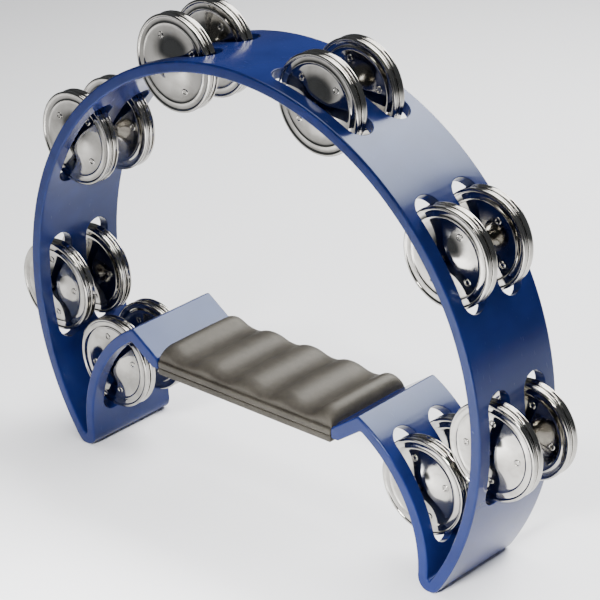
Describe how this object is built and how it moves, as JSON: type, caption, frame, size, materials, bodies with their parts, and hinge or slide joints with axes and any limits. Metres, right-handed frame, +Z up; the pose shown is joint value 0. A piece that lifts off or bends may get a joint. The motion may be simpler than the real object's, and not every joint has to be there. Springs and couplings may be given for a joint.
{
  "type": "tambourine",
  "caption": "Cutaway half-moon tambourine: blue plastic hoop on curved horns, ridged rubber hand grip, and pairs of loose metal discs on pins in two rows of slots.",
  "frame": {"origin": "on the ground, midway between the two horn feet and midway across the strip's width", "axes": "+X to the right along the handle, +Y from the front edge to the back edge of the strip, +Z up from the feet to the top of the hoop"},
  "size_m": [0.2908, 0.048, 0.2123],
  "materials": {
    "hoop_plastic": "glossy moulded blue",
    "grip_rubber": "satin moulded rubber",
    "grip_shell": "satin moulded rubber",
    "jingle_plate": "bright nickel plating",
    "pin_steel": "drawn wire",
    "screw_steel": "zinc plated"
  },
  "bodies": {
    "frame": {"hoop": "hoop_plastic", "handle": "hoop_plastic", "grip_lower": "grip_shell", "grip_upper": "grip_rubber", "screw_l": "screw_steel", "screw_r": "screw_steel", "pin_top_l": "pin_steel", "pin_mid_l": "pin_steel", "pin_low_l": "pin_steel", "pin_top_r": "pin_steel", "pin_mid_r": "pin_steel", "pin_low_r": "pin_steel", "pin_horn_l": "pin_steel", "pin_horn_r": "pin_steel"},
    "jingle_top_l_f1": {"jingle_top_l_f1": "jingle_plate"},
    "jingle_top_l_f2": {"jingle_top_l_f2": "jingle_plate"},
    "jingle_top_l_b1": {"jingle_top_l_b1": "jingle_plate"},
    "jingle_top_l_b2": {"jingle_top_l_b2": "jingle_plate"},
    "jingle_mid_l_f1": {"jingle_mid_l_f1": "jingle_plate"},
    "jingle_mid_l_f2": {"jingle_mid_l_f2": "jingle_plate"},
    "jingle_mid_l_b1": {"jingle_mid_l_b1": "jingle_plate"},
    "jingle_mid_l_b2": {"jingle_mid_l_b2": "jingle_plate"},
    "jingle_low_l_f1": {"jingle_low_l_f1": "jingle_plate"},
    "jingle_low_l_f2": {"jingle_low_l_f2": "jingle_plate"},
    "jingle_low_l_b1": {"jingle_low_l_b1": "jingle_plate"},
    "jingle_low_l_b2": {"jingle_low_l_b2": "jingle_plate"},
    "jingle_top_r_f1": {"jingle_top_r_f1": "jingle_plate"},
    "jingle_top_r_f2": {"jingle_top_r_f2": "jingle_plate"},
    "jingle_top_r_b1": {"jingle_top_r_b1": "jingle_plate"},
    "jingle_top_r_b2": {"jingle_top_r_b2": "jingle_plate"},
    "jingle_mid_r_f1": {"jingle_mid_r_f1": "jingle_plate"},
    "jingle_mid_r_f2": {"jingle_mid_r_f2": "jingle_plate"},
    "jingle_mid_r_b1": {"jingle_mid_r_b1": "jingle_plate"},
    "jingle_mid_r_b2": {"jingle_mid_r_b2": "jingle_plate"},
    "jingle_low_r_f1": {"jingle_low_r_f1": "jingle_plate"},
    "jingle_low_r_f2": {"jingle_low_r_f2": "jingle_plate"},
    "jingle_low_r_b1": {"jingle_low_r_b1": "jingle_plate"},
    "jingle_low_r_b2": {"jingle_low_r_b2": "jingle_plate"},
    "jingle_horn_l_f1": {"jingle_horn_l_f1": "jingle_plate"},
    "jingle_horn_l_f2": {"jingle_horn_l_f2": "jingle_plate"},
    "jingle_horn_l_b1": {"jingle_horn_l_b1": "jingle_plate"},
    "jingle_horn_l_b2": {"jingle_horn_l_b2": "jingle_plate"},
    "jingle_horn_r_f1": {"jingle_horn_r_f1": "jingle_plate"},
    "jingle_horn_r_f2": {"jingle_horn_r_f2": "jingle_plate"},
    "jingle_horn_r_b1": {"jingle_horn_r_b1": "jingle_plate"},
    "jingle_horn_r_b2": {"jingle_horn_r_b2": "jingle_plate"}
  },
  "joints": [
    {"name": "jingle_top_l_f1_slide", "type": "slide", "parent": "frame", "child": "jingle_top_l_f1", "axis": [0, 1, 0], "range_m": [-0.00125, 0.00025]},
    {"name": "jingle_top_l_f2_slide", "type": "slide", "parent": "frame", "child": "jingle_top_l_f2", "axis": [0, 1, 0], "range_m": [-0.00025, 0.00125]},
    {"name": "jingle_top_l_b1_slide", "type": "slide", "parent": "frame", "child": "jingle_top_l_b1", "axis": [0, 1, 0], "range_m": [-0.00125, 0.00025]},
    {"name": "jingle_top_l_b2_slide", "type": "slide", "parent": "frame", "child": "jingle_top_l_b2", "axis": [0, 1, 0], "range_m": [-0.00025, 0.00125]},
    {"name": "jingle_mid_l_f1_slide", "type": "slide", "parent": "frame", "child": "jingle_mid_l_f1", "axis": [0, 1, 0], "range_m": [-0.00125, 0.00025]},
    {"name": "jingle_mid_l_f2_slide", "type": "slide", "parent": "frame", "child": "jingle_mid_l_f2", "axis": [0, 1, 0], "range_m": [-0.00025, 0.00125]},
    {"name": "jingle_mid_l_b1_slide", "type": "slide", "parent": "frame", "child": "jingle_mid_l_b1", "axis": [0, 1, 0], "range_m": [-0.00125, 0.00025]},
    {"name": "jingle_mid_l_b2_slide", "type": "slide", "parent": "frame", "child": "jingle_mid_l_b2", "axis": [0, 1, 0], "range_m": [-0.00025, 0.00125]},
    {"name": "jingle_low_l_f1_slide", "type": "slide", "parent": "frame", "child": "jingle_low_l_f1", "axis": [0, 1, 0], "range_m": [-0.00125, 0.00025]},
    {"name": "jingle_low_l_f2_slide", "type": "slide", "parent": "frame", "child": "jingle_low_l_f2", "axis": [0, 1, 0], "range_m": [-0.00025, 0.00125]},
    {"name": "jingle_low_l_b1_slide", "type": "slide", "parent": "frame", "child": "jingle_low_l_b1", "axis": [0, 1, 0], "range_m": [-0.00125, 0.00025]},
    {"name": "jingle_low_l_b2_slide", "type": "slide", "parent": "frame", "child": "jingle_low_l_b2", "axis": [0, 1, 0], "range_m": [-0.00025, 0.00125]},
    {"name": "jingle_top_r_f1_slide", "type": "slide", "parent": "frame", "child": "jingle_top_r_f1", "axis": [0, 1, 0], "range_m": [-0.00125, 0.00025]},
    {"name": "jingle_top_r_f2_slide", "type": "slide", "parent": "frame", "child": "jingle_top_r_f2", "axis": [0, 1, 0], "range_m": [-0.00025, 0.00125]},
    {"name": "jingle_top_r_b1_slide", "type": "slide", "parent": "frame", "child": "jingle_top_r_b1", "axis": [0, 1, 0], "range_m": [-0.00125, 0.00025]},
    {"name": "jingle_top_r_b2_slide", "type": "slide", "parent": "frame", "child": "jingle_top_r_b2", "axis": [0, 1, 0], "range_m": [-0.00025, 0.00125]},
    {"name": "jingle_mid_r_f1_slide", "type": "slide", "parent": "frame", "child": "jingle_mid_r_f1", "axis": [0, 1, 0], "range_m": [-0.00125, 0.00025]},
    {"name": "jingle_mid_r_f2_slide", "type": "slide", "parent": "frame", "child": "jingle_mid_r_f2", "axis": [0, 1, 0], "range_m": [-0.00025, 0.00125]},
    {"name": "jingle_mid_r_b1_slide", "type": "slide", "parent": "frame", "child": "jingle_mid_r_b1", "axis": [0, 1, 0], "range_m": [-0.00125, 0.00025]},
    {"name": "jingle_mid_r_b2_slide", "type": "slide", "parent": "frame", "child": "jingle_mid_r_b2", "axis": [0, 1, 0], "range_m": [-0.00025, 0.00125]},
    {"name": "jingle_low_r_f1_slide", "type": "slide", "parent": "frame", "child": "jingle_low_r_f1", "axis": [0, 1, 0], "range_m": [-0.00125, 0.00025]},
    {"name": "jingle_low_r_f2_slide", "type": "slide", "parent": "frame", "child": "jingle_low_r_f2", "axis": [0, 1, 0], "range_m": [-0.00025, 0.00125]},
    {"name": "jingle_low_r_b1_slide", "type": "slide", "parent": "frame", "child": "jingle_low_r_b1", "axis": [0, 1, 0], "range_m": [-0.00125, 0.00025]},
    {"name": "jingle_low_r_b2_slide", "type": "slide", "parent": "frame", "child": "jingle_low_r_b2", "axis": [0, 1, 0], "range_m": [-0.00025, 0.00125]},
    {"name": "jingle_horn_l_f1_slide", "type": "slide", "parent": "frame", "child": "jingle_horn_l_f1", "axis": [0, 1, 0], "range_m": [-0.00125, 0.00025]},
    {"name": "jingle_horn_l_f2_slide", "type": "slide", "parent": "frame", "child": "jingle_horn_l_f2", "axis": [0, 1, 0], "range_m": [-0.00025, 0.00125]},
    {"name": "jingle_horn_l_b1_slide", "type": "slide", "parent": "frame", "child": "jingle_horn_l_b1", "axis": [0, 1, 0], "range_m": [-0.00125, 0.00025]},
    {"name": "jingle_horn_l_b2_slide", "type": "slide", "parent": "frame", "child": "jingle_horn_l_b2", "axis": [0, 1, 0], "range_m": [-0.00025, 0.00125]},
    {"name": "jingle_horn_r_f1_slide", "type": "slide", "parent": "frame", "child": "jingle_horn_r_f1", "axis": [0, 1, 0], "range_m": [-0.00125, 0.00025]},
    {"name": "jingle_horn_r_f2_slide", "type": "slide", "parent": "frame", "child": "jingle_horn_r_f2", "axis": [0, 1, 0], "range_m": [-0.00025, 0.00125]},
    {"name": "jingle_horn_r_b1_slide", "type": "slide", "parent": "frame", "child": "jingle_horn_r_b1", "axis": [0, 1, 0], "range_m": [-0.00125, 0.00025]},
    {"name": "jingle_horn_r_b2_slide", "type": "slide", "parent": "frame", "child": "jingle_horn_r_b2", "axis": [0, 1, 0], "range_m": [-0.00025, 0.00125]}
  ]
}
